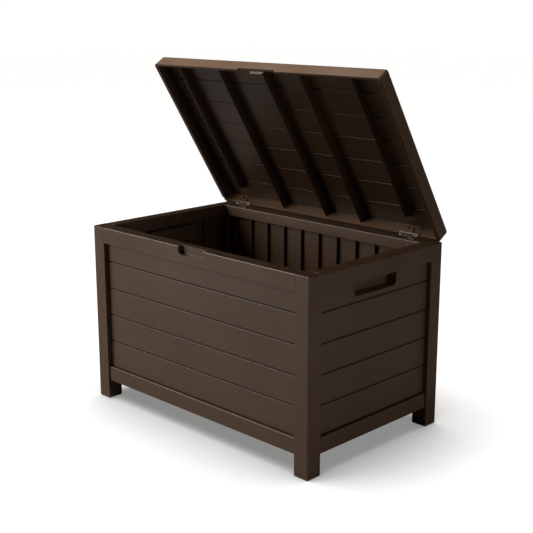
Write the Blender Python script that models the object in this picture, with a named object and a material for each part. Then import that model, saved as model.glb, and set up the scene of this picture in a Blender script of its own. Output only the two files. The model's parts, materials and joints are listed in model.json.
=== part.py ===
"""Deck storage box: a moulded plank-look chest on four corner posts, with a hinged lid.

Metres, +Z up, front of the box towards -Y. The lid is modelled closed, in the
frame of an empty on the hinge axis, and that empty then turns it open.
"""
import math

import bmesh
import bpy
from mathutils import Matrix, Vector

# Driving dimensions of the box body
WIDTH = 0.620            # outside, left to right
DEPTH = 0.388            # outside, front to back
BODY_HEIGHT = 0.381      # floor to the top of the rails
POST = 0.034             # square corner post
POST_WALL = 0.003
GAP = 0.0003             # between pieces that touch
CLEAR = 0.001            # room left beside a piece that moves or slides in
BITE = 0.001             # how deep two joined shapes overlap
OVERCUT = 0.010          # how far a cutting shape runs past the piece
SAME = 1e-5              # closer than this counts as on the same plane
ARRIS_RADIUS = 0.003     # outer upright edge of a post
FOOT_CHAMFER = 0.002
TOP_CHAMFER = 0.0008
RAIL_CHAMFER = 0.001

# Where the boards lie, up the body
FOOT_GAP = 0.041         # ground to the underside of the bottom rails
BOTTOM_RAIL_TOP = 0.0732
TOP_RAIL_BOTTOM = 0.3475
BOARD_HEIGHT = 0.0583    # of the four whole boards
WHOLE_BOARDS = 4

# Depths measured inwards from the outer face of a side
RAIL_RECESS = 0.0035     # bottom rails stand this far behind the posts
BOARD_FACE = 0.010
BOARD_BACK = 0.0135
WALL_RIB_BACK = 0.021
RAIL_DEPTH = 0.030       # front and side top rails
REAR_RAIL_DEPTH = 0.034
RAIL_SKIN = 0.003
INNER_LEG_BOTTOM = 0.358
PANEL_TOP = 0.360
TONGUE = 0.008           # panel edge that slides into a post
WALL_RIB = 0.0025
WALL_RIB_PITCH = 0.052
GROOVE_WIDTH = 0.003
GROOVE_DEPTH = 0.0018
REAR_END_LENGTH = 0.036  # rail end pieces beside the rear posts

# Hand slots in the sides, finger notch in the front
SLOT_LENGTH = 0.123
SLOT_BOTTOM = 0.319
SLOT_RADIUS = 0.009
SLOT_BACK = 0.031
CUP_WALL = 0.0025
LIP_WIDTH = 0.003
LIP_PROUD = 0.0012
NOTCH_LENGTH = 0.072
NOTCH_HEIGHT = 0.017
NOTCH_DEPTH = 0.011
NOTCH_RADIUS = 0.009

# Bottom rails and floor
WEB_TOP = 0.045
LEDGE_TOP = 0.054
LEDGE_WIDTH = 0.006
FLOOR_THICKNESS = 0.004
FLOOR_RIB = 0.0025
FLOOR_RIB_BOTTOM = 0.042
FLOOR_RIB_Y = (-0.10, 0.0, 0.10)
FLOOR_RIB_X = (-0.18, -0.06, 0.06, 0.18)

# Lid
LID_HEIGHT = 0.032
LID_SKIN = 0.003
LID_FRONT_WALL = 0.005
LID_SIDE_WALL = 0.008
RIM_CLEARANCE = 0.0005
REAR_RIM_CLEARANCE = 0.0025
REAR_RIM_REACH = 0.014
LID_EDGE_RADIUS = 0.005
LID_CORNER_RADIUS = 0.006
LID_BOARDS = 7
LID_GROOVE_DEPTH = 0.0012
LID_INNER_LINE_DEPTH = 0.0009   # the plank lines show inside the lid as well
LID_RIB = 0.0025
LID_RIB_BOTTOM = 0.0095
LID_RIB_X = (-0.244, -0.122, 0.004, 0.102, 0.232)
OUTER_RIB_BACK = 0.164   # where the two outer ribs end, short of the hinges
OUTER_RIB_SLOPE = 0.014
LID_NOTCH_LENGTH = 0.100
LID_NOTCH_HEIGHT = 0.0045
OPEN_ANGLE = math.radians(58.0)

# Hinges: the axis runs along X, close to the rear top edge of the body
AXIS_INSET = 0.004
AXIS_RISE = 0.006
PIN_RADIUS = 0.002
BORE_RADIUS = 0.0023
BARREL_RADIUS = 0.0038
EAR_X = (-0.231, 0.249)  # middle of the ear of the left and right hinge
EAR_WIDTH = 0.015
EAR_BASE = 0.002         # thickness of the ear's foot on the rail
EAR_BASE_REACH = 0.018   # how far the foot runs forward of the axis
EAR_SCREW_REACH = 0.0115
LEAF_WIDTH = 0.033
LEAF_TOP_WIDTH = 0.017
LEAF_THICKNESS = 0.0025
LEAF_RISE = 0.015        # plate above the barrel
LEAF_SCREW_RISE = 0.008
SCREW_RADIUS = 0.0016
SCREW_HEAD_RADIUS = 0.0030
SCREW_HEAD_HEIGHT = 0.0012
SCREW_BITE = 0.0032      # length of screw inside the piece it holds to

# Catch that drops from the lid into the finger notch
CATCH_LENGTH = 0.036
CATCH_THICKNESS = 0.003
CATCH_DROP = 0.003
CATCH_SCREW_X = 0.010
CATCH_SCREW_HEIGHT = 0.017
CATCH_TIP_RADIUS = 0.005

RESIN = (0.082, 0.053, 0.038)
RESIN_DARK = (0.060, 0.038, 0.027)
STEEL = (0.42, 0.41, 0.40)

HALF_X = WIDTH / 2
HALF_Y = DEPTH / 2
AXIS_Y = HALF_Y - AXIS_INSET
AXIS_Z = BODY_HEIGHT + AXIS_RISE
EAR_SCREW_Y = AXIS_Y - EAR_SCREW_REACH
EAR_BASE_TOP = BODY_HEIGHT + GAP + EAR_BASE
LID_BOTTOM = BODY_HEIGHT + RIM_CLEARANCE
LID_TOP = BODY_HEIGHT + LID_HEIGHT


def rear_reach():
    """How far the open lid's rounded back edge stands behind the body."""
    y = AXIS_INSET - LID_EDGE_RADIUS
    z = LID_TOP - AXIS_Z - LID_EDGE_RADIUS
    turned = y * math.cos(OPEN_ANGLE) + z * math.sin(OPEN_ANGLE)
    return turned + LID_EDGE_RADIUS - AXIS_INSET


def clear_scene():
    for obj in list(bpy.data.objects):
        bpy.data.objects.remove(obj, do_unlink=True)
    for collection in list(bpy.data.collections):
        bpy.data.collections.remove(collection)


def make_material(name, colour, roughness, metallic=0.0):
    material = bpy.data.materials.new(name)
    material.use_nodes = True
    shader = material.node_tree.nodes["Principled BSDF"]
    shader.inputs["Base Color"].default_value = (*colour, 1.0)
    shader.inputs["Roughness"].default_value = roughness
    shader.inputs["Metallic"].default_value = metallic
    return material


class Workshop:
    """The two collections and the frames that pieces are parented to."""

    def __init__(self):
        scene = bpy.context.scene
        self.parts = bpy.data.collections.new("deck_storage_box")
        self.cutters = bpy.data.collections.new("cutters")
        scene.collection.children.link(self.parts)
        scene.collection.children.link(self.cutters)
        self.body = self.empty("body_frame", None, (0, -rear_reach() / 2, 0))
        self.lid = self.empty("lid_hinge_axis", self.body, (0, AXIS_Y, AXIS_Z))
        self.lid.rotation_euler.x = -OPEN_ANGLE

    def empty(self, name, parent, location):
        frame = bpy.data.objects.new(name, None)
        frame.location = location
        frame.parent = parent
        self.cutters.objects.link(frame)
        return frame

    def place(self, name, mesh, frame, cutter=False):
        """Link a mesh that is written in body coordinates under a frame."""
        if frame == self.lid:
            mesh.transform(Matrix.Translation((0, -AXIS_Y, -AXIS_Z)))
        obj = bpy.data.objects.new(name, mesh)
        obj.parent = frame
        if cutter:
            self.cutters.objects.link(obj)
            obj.hide_render = True
            obj.display_type = "WIRE"
        else:
            self.parts.objects.link(obj)
        return obj

    def boolean(self, obj, operation, mesh):
        """Join or cut a piece with a second mesh in the same frame."""
        tool = self.place(f"{obj.name}_{operation.lower()}", mesh, obj.parent, cutter=True)
        modifier = obj.modifiers.new(tool.name, "BOOLEAN")
        modifier.operation = operation
        modifier.solver = "EXACT"
        modifier.object = tool
        return obj


def add_box(mesh, low, high):
    centre = [(a + b) / 2 for a, b in zip(low, high)]
    size = [b - a for a, b in zip(low, high)]
    matrix = Matrix.Translation(centre) @ Matrix.Diagonal((*size, 1.0))
    return bmesh.ops.create_cube(mesh, size=1.0, matrix=matrix)["verts"]


def finish_mesh(mesh, name):
    data = bpy.data.meshes.new(name)
    mesh.to_mesh(data)
    mesh.free()
    return data


def boxes(name, extents):
    """One mesh of separate boxes, each from its low to its high corner."""
    mesh = bmesh.new()
    for low, high in extents:
        add_box(mesh, low, high)
    return finish_mesh(mesh, name)


def edge_runs_along(edge, axis):
    run = edge.verts[1].co - edge.verts[0].co
    return abs(run[axis]) > 0.99 * run.length


def rounded_box(name, low, high, roundings):
    """A box with some edges bevelled.

    Each rounding is (chooser, radius, segments), where the chooser is given
    an edge and its middle point.
    """
    mesh = bmesh.new()
    add_box(mesh, low, high)
    for chosen, radius, segments in roundings:
        edges = [e for e in mesh.edges if chosen(e, (e.verts[0].co + e.verts[1].co) / 2)]
        bmesh.ops.bevel(
            mesh, geom=edges, offset=radius, segments=segments, profile=0.5, affect="EDGES"
        )
    return finish_mesh(mesh, name)


def cylinder(name, radius, start, end, segments=20):
    """A rod between two points."""
    start = Vector(start)
    end = Vector(end)
    run = end - start
    turn = run.to_track_quat("Z", "Y").to_matrix().to_4x4()
    mesh = bmesh.new()
    spot = Matrix.Translation((start + end) / 2) @ turn
    bmesh.ops.create_cone(
        mesh, cap_ends=True, segments=segments, radius1=radius, radius2=radius,
        depth=run.length, matrix=spot,
    )
    return finish_mesh(mesh, name)


# A side is described by u along it, n inwards from its outer face, and z
SIDES = ("front", "rear", "left", "right")


def half_length(side):
    return HALF_X if side in ("front", "rear") else HALF_Y


def on_side(side, u, n, z):
    if side == "front":
        return (u, -HALF_Y + n, z)
    if side == "rear":
        return (-u, HALF_Y - n, z)
    if side == "right":
        return (HALF_X - n, u, z)
    return (-HALF_X + n, -u, z)


def side_box(side, u, n, z):
    """Low and high corners of a box given by its ranges in u, n and z."""
    a = on_side(side, u[0], n[0], z[0])
    b = on_side(side, u[1], n[1], z[1])
    low = tuple(min(p, q) for p, q in zip(a, b))
    high = tuple(max(p, q) for p, q in zip(a, b))
    return low, high


def depth_axis(side):
    return 1 if side in ("front", "rear") else 0


def build_posts(shop, resin):
    for front_rear, sy in (("front", -1), ("rear", 1)):
        for left_right, sx in (("left", -1), ("right", 1)):
            name = f"corner_post_{front_rear}_{left_right}"
            corner = Vector((sx * HALF_X, sy * HALF_Y, 0))
            inner = corner + Vector((-sx * POST, -sy * POST, BODY_HEIGHT))
            low = [min(a, b) for a, b in zip(corner, inner)]
            high = [max(a, b) for a, b in zip(corner, inner)]

            def outer_arris(edge, middle, corner=corner):
                near = abs(middle.x - corner.x) + abs(middle.y - corner.y) < SAME
                return edge_runs_along(edge, 2) and near

            def foot_edge(edge, middle):
                return middle.z < SAME

            def head_edge(edge, middle):
                return middle.z > BODY_HEIGHT - SAME

            post = shop.place(name, rounded_box(name, low, high, [
                (outer_arris, ARRIS_RADIUS, 3), (foot_edge, FOOT_CHAMFER, 1),
                (head_edge, TOP_CHAMFER, 1),
            ]), shop.body)
            hollow_low = (low[0] + POST_WALL, low[1] + POST_WALL, POST_WALL)
            hollow_high = (high[0] - POST_WALL, high[1] - POST_WALL, BODY_HEIGHT - POST_WALL)
            shop.boolean(post, "DIFFERENCE", boxes(name, [(hollow_low, hollow_high)]))
            slots = boxes(name, [panel_slot("front" if sy < 0 else "rear", sx, sy),
                                 panel_slot("left" if sx < 0 else "right", sx, sy)])
            shop.boolean(post, "DIFFERENCE", slots)
            post.data.materials.append(resin)


def panel_slot(side, sx, sy):
    """The slit in a post's inner wall that takes the edge of a panel."""
    half = half_length(side)
    outside = on_side(side, half, 0, 0)
    along = 0 if side in ("front", "rear") else 1
    sign = (sx, sy)[along]
    if outside[along] * sign < 0:
        u = (-half + POST_WALL + CLEAR, -half + POST + BITE)
    else:
        u = (half - POST - BITE, half - POST_WALL - CLEAR)
    return side_box(side, u, (BOARD_FACE - GAP, BOARD_BACK + GAP), (WEB_TOP, PANEL_TOP + GAP))


def rib_places(half):
    """Middles of the stiffening ribs on the inside of a wall, about its centre."""
    room = half - POST - WALL_RIB
    count = int(room // WALL_RIB_PITCH)
    return [k * WALL_RIB_PITCH for k in range(-count, count + 1)]


def slot_outline(side, grow, n, top):
    """A U-shaped block round a hand slot, wider than the slot by grow."""
    half = SLOT_LENGTH / 2 + grow
    bottom = SLOT_BOTTOM - grow
    low, high = side_box(side, (-half, half), n, (bottom, top))

    def lower_corner(edge, middle):
        return edge_runs_along(edge, depth_axis(side)) and middle.z < bottom + SAME

    return rounded_box(side, low, high, [(lower_corner, SLOT_RADIUS + grow, 4)])


def build_panel(shop, side, resin):
    name = f"{side}_wall_panel"
    half = half_length(side)
    reach = half - POST + TONGUE
    panel = shop.place(name, boxes(name, [side_box(
        side, (-reach, reach), (BOARD_FACE, BOARD_BACK), (WEB_TOP + GAP, PANEL_TOP))]), shop.body)
    ribs = [side_box(side, (u - WALL_RIB / 2, u + WALL_RIB / 2),
                     (BOARD_BACK - BITE, WALL_RIB_BACK),
                     (WEB_TOP + CLEAR, PANEL_TOP - CLEAR)) for u in rib_places(half)]
    shop.boolean(panel, "UNION", boxes(name, ribs))
    levels = [BOTTOM_RAIL_TOP + k * BOARD_HEIGHT for k in range(1, WHOLE_BOARDS + 1)]
    shop.boolean(panel, "DIFFERENCE", boxes(name, [side_box(
        side, (-half, half), (BOARD_FACE - BITE, BOARD_FACE + GROOVE_DEPTH),
        (z - GROOVE_WIDTH / 2, z + GROOVE_WIDTH / 2)) for z in levels]))
    if side in ("left", "right"):
        cup_top = TOP_RAIL_BOTTOM + CUP_WALL
        shop.boolean(panel, "UNION", slot_outline(
            side, CUP_WALL, (BOARD_FACE + BITE, SLOT_BACK + CUP_WALL), cup_top))
        shop.boolean(panel, "UNION", slot_outline(
            side, LIP_WIDTH, (BOARD_FACE - LIP_PROUD, BOARD_FACE + 2 * BITE),
            TOP_RAIL_BOTTOM - GAP))
        shop.boolean(panel, "DIFFERENCE", slot_outline(
            side, 0.0, (0.0, SLOT_BACK), TOP_RAIL_BOTTOM - 2 * GAP))
    panel.data.materials.append(resin)


def rail_section(side, u, depth):
    """The solid bar of a top rail and the channel that hollows it from below."""
    bar = side_box(side, u, (0, depth), (TOP_RAIL_BOTTOM, BODY_HEIGHT))
    wide = (u[0] - OVERCUT, u[1] + OVERCUT)
    below = TOP_RAIL_BOTTOM - OVERCUT
    channel = side_box(side, wide, (BOARD_FACE - GAP, depth - RAIL_SKIN),
                       (below, BODY_HEIGHT - RAIL_SKIN))
    short_leg = side_box(side, wide, (depth - 2 * RAIL_SKIN, depth + OVERCUT),
                         (below, INNER_LEG_BOTTOM))
    return bar, channel, short_leg


def top_edge_chooser(top):
    def chosen(edge, middle):
        return middle.z > top - SAME
    return chosen


def build_top_rail(shop, side, resin):
    name = f"{side}_top_rail"
    depth = REAR_RAIL_DEPTH if side == "rear" else RAIL_DEPTH
    end = half_length(side) - POST - GAP
    if side == "rear":
        end -= REAR_END_LENGTH
    bar, channel, short_leg = rail_section(side, (-end, end), depth)
    mesh = rounded_box(name, *bar, [(top_edge_chooser(BODY_HEIGHT), TOP_CHAMFER, 1)])
    rail = shop.place(name, mesh, shop.body)
    shop.boolean(rail, "DIFFERENCE", boxes(name, [channel]))
    shop.boolean(rail, "DIFFERENCE", boxes(name, [short_leg]))
    if side == "front":
        half = NOTCH_LENGTH / 2
        bottom = BODY_HEIGHT - NOTCH_HEIGHT
        wall = CUP_WALL
        shop.boolean(rail, "UNION", boxes(name, [side_box(
            side, (-half - wall, half + wall), (BOARD_FACE - BITE, NOTCH_DEPTH + wall),
            (bottom - wall, BODY_HEIGHT - BITE))]))
        low, high = side_box(side, (-half, half), (-OVERCUT, NOTCH_DEPTH),
                             (bottom, BODY_HEIGHT + OVERCUT))

        def lower_corner(edge, middle):
            return edge_runs_along(edge, 1) and middle.z < bottom + SAME

        shop.boolean(rail, "DIFFERENCE", rounded_box(
            name, low, high, [(lower_corner, NOTCH_RADIUS, 4)]))
    if side == "rear":
        cut_ear_screw_holes(shop, rail, (-end, end))
    rail.data.materials.append(resin)


def cut_ear_screw_holes(shop, piece, x_range):
    """Holes in a rear rail piece for the screws of the hinge ears on it."""
    for ear_x in EAR_X:
        if x_range[0] < ear_x < x_range[1]:
            shop.boolean(piece, "DIFFERENCE", cylinder(
                piece.name, SCREW_RADIUS + GAP, (ear_x, EAR_SCREW_Y, BODY_HEIGHT + OVERCUT),
                (ear_x, EAR_SCREW_Y, BODY_HEIGHT - OVERCUT), 12))


def build_rear_rail_ends(shop, resin):
    for left_right, sign in (("left", 1), ("right", -1)):
        name = f"rear_rail_end_{left_right}"
        outer = half_length("rear") - POST - GAP
        inner = outer - REAR_END_LENGTH + GAP
        u = sorted((sign * inner, sign * outer))
        bar, channel, short_leg = rail_section("rear", u, REAR_RAIL_DEPTH)
        piece = shop.place(name, rounded_box(
            name, *bar, [(top_edge_chooser(BODY_HEIGHT), TOP_CHAMFER, 1)]), shop.body)
        shop.boolean(piece, "DIFFERENCE", boxes(name, [channel]))
        shop.boolean(piece, "DIFFERENCE", boxes(name, [short_leg]))
        cut_ear_screw_holes(shop, piece, (-u[1], -u[0]))
        piece.data.materials.append(resin)


def build_bottom_rail(shop, side, resin):
    name = f"{side}_bottom_rail"
    end = half_length(side) - POST - GAP
    u = (-end, end)
    wide = (-end - OVERCUT, end + OVERCUT)
    low, high = side_box(side, u, (RAIL_RECESS, POST), (FOOT_GAP, BOTTOM_RAIL_TOP))
    outside = on_side(side, 0, RAIL_RECESS, 0)[depth_axis(side)]

    def outer_edge(edge, middle):
        on_face = abs(middle[depth_axis(side)] - outside) < SAME
        return on_face and not edge_runs_along(edge, 2)

    rail = shop.place(name, rounded_box(name, low, high, [(outer_edge, RAIL_CHAMFER, 1)]), shop.body)
    above = BOTTOM_RAIL_TOP + OVERCUT
    trough = side_box(side, wide, (BOARD_FACE - GAP, POST - LEDGE_WIDTH), (WEB_TOP, above))
    above_ledge = side_box(side, wide, (POST - 2 * LEDGE_WIDTH, POST + OVERCUT), (LEDGE_TOP, above))
    shop.boolean(rail, "DIFFERENCE", boxes(name, [trough]))
    shop.boolean(rail, "DIFFERENCE", boxes(name, [above_ledge]))
    rail.data.materials.append(resin)


def build_floor(shop, resin):
    name = "floor_panel"
    inset = WALL_RIB_BACK + 2 * GAP
    x, y = HALF_X - inset, HALF_Y - inset
    bottom = LEDGE_TOP + GAP
    floor = shop.place(name, boxes(name, [((-x, -y, bottom), (x, y, bottom + FLOOR_THICKNESS))]),
                       shop.body)
    notch = POST + GAP
    corners = []
    for sx in (-1, 1):
        for sy in (-1, 1):
            near = (sx * (HALF_X - notch), sy * (HALF_Y - notch))
            far = (sx * WIDTH, sy * DEPTH)
            low = [min(a, b) for a, b in zip(near, far)]
            high = [max(a, b) for a, b in zip(near, far)]
            corners.append(((*low, bottom - OVERCUT), (*high, bottom + 2 * OVERCUT)))
    shop.boolean(floor, "DIFFERENCE", boxes(name, corners))
    reach_x = HALF_X - POST - CLEAR
    reach_y = HALF_Y - POST - CLEAR
    rib_z = (FLOOR_RIB_BOTTOM, bottom + BITE)
    long_ribs = [((-reach_x, y0 - FLOOR_RIB / 2, rib_z[0]), (reach_x, y0 + FLOOR_RIB / 2, rib_z[1]))
                 for y0 in FLOOR_RIB_Y]
    cross_ribs = [((x0 - FLOOR_RIB / 2, -reach_y, rib_z[0] + BITE),
                   (x0 + FLOOR_RIB / 2, reach_y, rib_z[1]))
                  for x0 in FLOOR_RIB_X]
    shop.boolean(floor, "UNION", boxes(name, long_ribs))
    shop.boolean(floor, "UNION", boxes(name, cross_ribs))
    floor.data.materials.append(resin)


def lid_ribs(name):
    """Front-to-back ribs; the two outer ones slope away before the hinges."""
    top = LID_TOP - LID_SKIN + LID_INNER_LINE_DEPTH + GAP
    low_z = BODY_HEIGHT + LID_RIB_BOTTOM
    front = -HALF_Y + LID_FRONT_WALL - BITE
    mesh = bmesh.new()
    for index, x in enumerate(LID_RIB_X):
        outer = index in (0, len(LID_RIB_X) - 1)
        back = OUTER_RIB_BACK if outer else HALF_Y - LID_FRONT_WALL + BITE
        start = front
        if abs(x) < CATCH_LENGTH / 2:
            start = -HALF_Y + LID_FRONT_WALL + CATCH_THICKNESS + 2 * GAP
        verts = add_box(mesh, (x - LID_RIB / 2, start, low_z), (x + LID_RIB / 2, back, top))
        if outer:
            for vert in verts:
                if vert.co.y > 0 and vert.co.z < top - SAME:
                    vert.co.y -= OUTER_RIB_SLOPE
    return finish_mesh(mesh, name)


def build_lid(shop, resin):
    name = "lid_shell"

    def rounded_edges(edge, middle):
        top = middle.z > LID_TOP - SAME
        return top or edge_runs_along(edge, 2)

    lid = shop.place(name, rounded_box(
        name, (-HALF_X, -HALF_Y, LID_BOTTOM), (HALF_X, HALF_Y, LID_TOP),
        [(rounded_edges, LID_EDGE_RADIUS, 4)]), shop.lid)

    inner_x = HALF_X - LID_SIDE_WALL
    inner_y = HALF_Y - LID_FRONT_WALL

    def upright(edge, middle):
        return edge_runs_along(edge, 2)

    shop.boolean(lid, "DIFFERENCE", rounded_box(
        name, (-inner_x, -inner_y, LID_BOTTOM - OVERCUT), (inner_x, inner_y, LID_TOP - LID_SKIN),
        [(upright, LID_CORNER_RADIUS, 3)]))

    pitch = DEPTH / LID_BOARDS
    lines = [-HALF_Y + k * pitch for k in range(1, LID_BOARDS)]
    half_line = GROOVE_WIDTH / 2
    skin_bottom = LID_TOP - LID_SKIN
    shop.boolean(lid, "DIFFERENCE", boxes(name, [
        ((-inner_x + GAP, y - half_line, skin_bottom - BITE),
         (inner_x - GAP, y + half_line, skin_bottom + LID_INNER_LINE_DEPTH)) for y in lines]))
    shop.boolean(lid, "UNION", lid_ribs(name))
    shop.boolean(lid, "DIFFERENCE", boxes(name, [
        ((-HALF_X - OVERCUT, y - half_line, LID_TOP - LID_GROOVE_DEPTH),
         (HALF_X + OVERCUT, y + half_line, LID_TOP + OVERCUT)) for y in lines]))

    rear_rim = ((-HALF_X - OVERCUT, HALF_Y - REAR_RIM_REACH, LID_BOTTOM - OVERCUT),
                (HALF_X + OVERCUT, HALF_Y + OVERCUT, BODY_HEIGHT + REAR_RIM_CLEARANCE))
    shop.boolean(lid, "DIFFERENCE", boxes(name, [rear_rim]))
    half = LID_NOTCH_LENGTH / 2
    front_notch = ((-half, -HALF_Y - OVERCUT, LID_BOTTOM - OVERCUT),
                   (half, -inner_y + BITE, LID_BOTTOM + LID_NOTCH_HEIGHT))
    shop.boolean(lid, "DIFFERENCE", boxes(name, [front_notch]))
    hinge_gaps = []
    for ear_x in EAR_X:
        leaf_left, ear_right = hinge_span(ear_x)
        hinge_gaps.append(((leaf_left - CLEAR, inner_y - BITE, LID_BOTTOM - OVERCUT),
                           (ear_right + CLEAR, HALF_Y + OVERCUT,
                            AXIS_Z + BARREL_RADIUS + CLEAR)))
    shop.boolean(lid, "DIFFERENCE", boxes(name, hinge_gaps))
    screw_holes = [leaf_screw_axis(ear_x) for ear_x in EAR_X] + catch_screw_axes()
    for start, end in screw_holes:
        beyond = (end - start).normalized() * 2 * GAP
        shop.boolean(lid, "DIFFERENCE", cylinder(
            name, SCREW_RADIUS + GAP, start, end + beyond, 12))
    lid.data.materials.append(resin)


def hinge_span(ear_x):
    """Left end of the lid's leaf and right end of the body's ear."""
    ear_left = ear_x - EAR_WIDTH / 2
    return ear_left - CLEAR - LEAF_WIDTH, ear_x + EAR_WIDTH / 2


def leaf_screw_axis(ear_x):
    """Start behind the screw's head, end inside the lid's rear wall."""
    leaf_left, _ = hinge_span(ear_x)
    x = leaf_left + LEAF_WIDTH / 2
    z = AXIS_Z + BARREL_RADIUS + LEAF_SCREW_RISE
    wall = HALF_Y - LID_FRONT_WALL
    return Vector((x, wall - GAP - LEAF_THICKNESS, z)), Vector((x, wall + SCREW_BITE, z))


def build_hinges(shop, resin, steel):
    wall = HALF_Y - LID_FRONT_WALL
    for left_right, ear_x in zip(("left", "right"), EAR_X):
        leaf_left, ear_right = hinge_span(ear_x)
        leaf_right = leaf_left + LEAF_WIDTH
        ear_left = ear_x - EAR_WIDTH / 2

        name = f"hinge_ear_{left_right}"
        base_low = (ear_left, AXIS_Y - EAR_BASE_REACH, BODY_HEIGHT + GAP)
        base_high = (ear_right, AXIS_Y, EAR_BASE_TOP)
        block_low = (ear_left, AXIS_Y - BARREL_RADIUS + GAP, BODY_HEIGHT + GAP)
        block_high = (ear_right, AXIS_Y + BARREL_RADIUS - GAP, AXIS_Z)
        ear = shop.place(name, cylinder(
            name, BARREL_RADIUS, (ear_left, AXIS_Y, AXIS_Z), (ear_right, AXIS_Y, AXIS_Z), 24),
            shop.body)
        shop.boolean(ear, "UNION", boxes(name, [(block_low, block_high)]))
        shop.boolean(ear, "UNION", boxes(name, [(base_low, base_high)]))
        shop.boolean(ear, "DIFFERENCE", cylinder(
            name, BORE_RADIUS, (ear_left - OVERCUT, AXIS_Y, AXIS_Z),
            (ear_right + OVERCUT, AXIS_Y, AXIS_Z)))
        shop.boolean(ear, "DIFFERENCE", cylinder(
            name, SCREW_RADIUS + GAP, (ear_x, EAR_SCREW_Y, BODY_HEIGHT + OVERCUT),
            (ear_x, EAR_SCREW_Y, BODY_HEIGHT - OVERCUT), 12))
        ear.data.materials.append(resin)

        name = f"hinge_leaf_{left_right}"
        leaf = shop.place(name, cylinder(
            name, BARREL_RADIUS, (leaf_left, AXIS_Y, AXIS_Z), (leaf_right, AXIS_Y, AXIS_Z), 24),
            shop.lid)
        shop.boolean(leaf, "UNION", leaf_plate(name, leaf_left, wall))
        shop.boolean(leaf, "DIFFERENCE", cylinder(
            name, BORE_RADIUS, (leaf_left - OVERCUT, AXIS_Y, AXIS_Z),
            (leaf_right + OVERCUT, AXIS_Y, AXIS_Z)))
        start, end = leaf_screw_axis(ear_x)
        shop.boolean(leaf, "DIFFERENCE", cylinder(
            name, SCREW_RADIUS + GAP, start - Vector((0, OVERCUT, 0)), end, 12))
        leaf.data.materials.append(resin)

        name = f"hinge_pin_{left_right}"
        pin = shop.place(name, cylinder(
            name, PIN_RADIUS, (leaf_left + CLEAR, AXIS_Y, AXIS_Z),
            (ear_right - CLEAR, AXIS_Y, AXIS_Z)), shop.lid)
        pin.data.materials.append(steel)

        name = f"hinge_leaf_screw_{left_right}"
        screw_axis = (start - Vector((0, GAP, 0)), end)
        build_screw(shop, name, *screw_axis, shop.lid, steel)
        name = f"hinge_ear_screw_{left_right}"
        build_screw(shop, name, Vector((ear_x, EAR_SCREW_Y, EAR_BASE_TOP + GAP)),
                    Vector((ear_x, EAR_SCREW_Y, BODY_HEIGHT - SCREW_BITE)), shop.body, steel)


def leaf_plate(name, leaf_left, wall):
    """Plate on the lid's rear wall, narrowing upwards from the barrel."""
    low = (leaf_left, wall - GAP - LEAF_THICKNESS, AXIS_Z)
    high = (leaf_left + LEAF_WIDTH, wall - GAP, AXIS_Z + BARREL_RADIUS + LEAF_RISE)
    mesh = bmesh.new()
    add_box(mesh, low, high)
    middle = leaf_left + LEAF_WIDTH / 2
    for vert in mesh.verts:
        if vert.co.z > AXIS_Z + SAME:
            vert.co.x = middle + (vert.co.x - middle) * LEAF_TOP_WIDTH / LEAF_WIDTH
    return finish_mesh(mesh, name)


def build_screw(shop, name, start, end, frame, steel):
    """Round-headed screw: a shank and a wider head joined on it."""
    run = (end - start).normalized()
    screw = shop.place(name, cylinder(name, SCREW_RADIUS, start - run * GAP, end, 12), frame)
    shop.boolean(screw, "UNION", cylinder(
        name, SCREW_HEAD_RADIUS, start - run * SCREW_HEAD_HEIGHT, start, 16))
    screw.data.materials.append(steel)


def catch_screw_axes():
    """Start and end of the two screws that hold the catch to the lid's front wall."""
    wall = -HALF_Y + LID_FRONT_WALL
    z = LID_BOTTOM + CATCH_SCREW_HEIGHT
    return [(Vector((x, wall + GAP + CATCH_THICKNESS, z)), Vector((x, wall - SCREW_BITE, z)))
            for x in (-CATCH_SCREW_X, CATCH_SCREW_X)]


def build_catch(shop, resin, steel):
    name = "lid_catch"
    half = CATCH_LENGTH / 2
    wall = -HALF_Y + LID_FRONT_WALL

    def tip_corner(edge, middle):
        return edge_runs_along(edge, 1) and middle.z < BODY_HEIGHT

    catch = shop.place(name, rounded_box(
        name, (-half, wall + GAP, BODY_HEIGHT - CATCH_DROP),
        (half, wall + GAP + CATCH_THICKNESS, LID_TOP - LID_SKIN - CLEAR),
        [(tip_corner, CATCH_TIP_RADIUS, 3)]), shop.lid)
    for left_right, (start, end) in zip(("left", "right"), catch_screw_axes()):
        shop.boolean(catch, "DIFFERENCE", cylinder(
            name, SCREW_RADIUS + GAP, start + Vector((0, OVERCUT, 0)), end, 12))
        screw_start = start + Vector((0, GAP, 0))
        build_screw(shop, f"lid_catch_screw_{left_right}", screw_start, end, shop.lid, steel)
    catch.data.materials.append(resin)


def main():
    clear_scene()
    shop = Workshop()
    resin = make_material("brown_resin", RESIN, 0.55)
    resin_inner = make_material("brown_resin_floor", RESIN_DARK, 0.6)
    steel = make_material("zinc_plated_steel", STEEL, 0.35, 1.0)
    build_posts(shop, resin)
    for side in SIDES:
        build_panel(shop, side, resin)
        build_top_rail(shop, side, resin)
        build_bottom_rail(shop, side, resin)
    build_rear_rail_ends(shop, resin)
    build_floor(shop, resin_inner)
    build_lid(shop, resin)
    build_hinges(shop, resin, steel)
    build_catch(shop, resin, steel)


main()
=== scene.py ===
import json
import math
import bmesh
import bpy
from mathutils import Matrix, Vector

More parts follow.
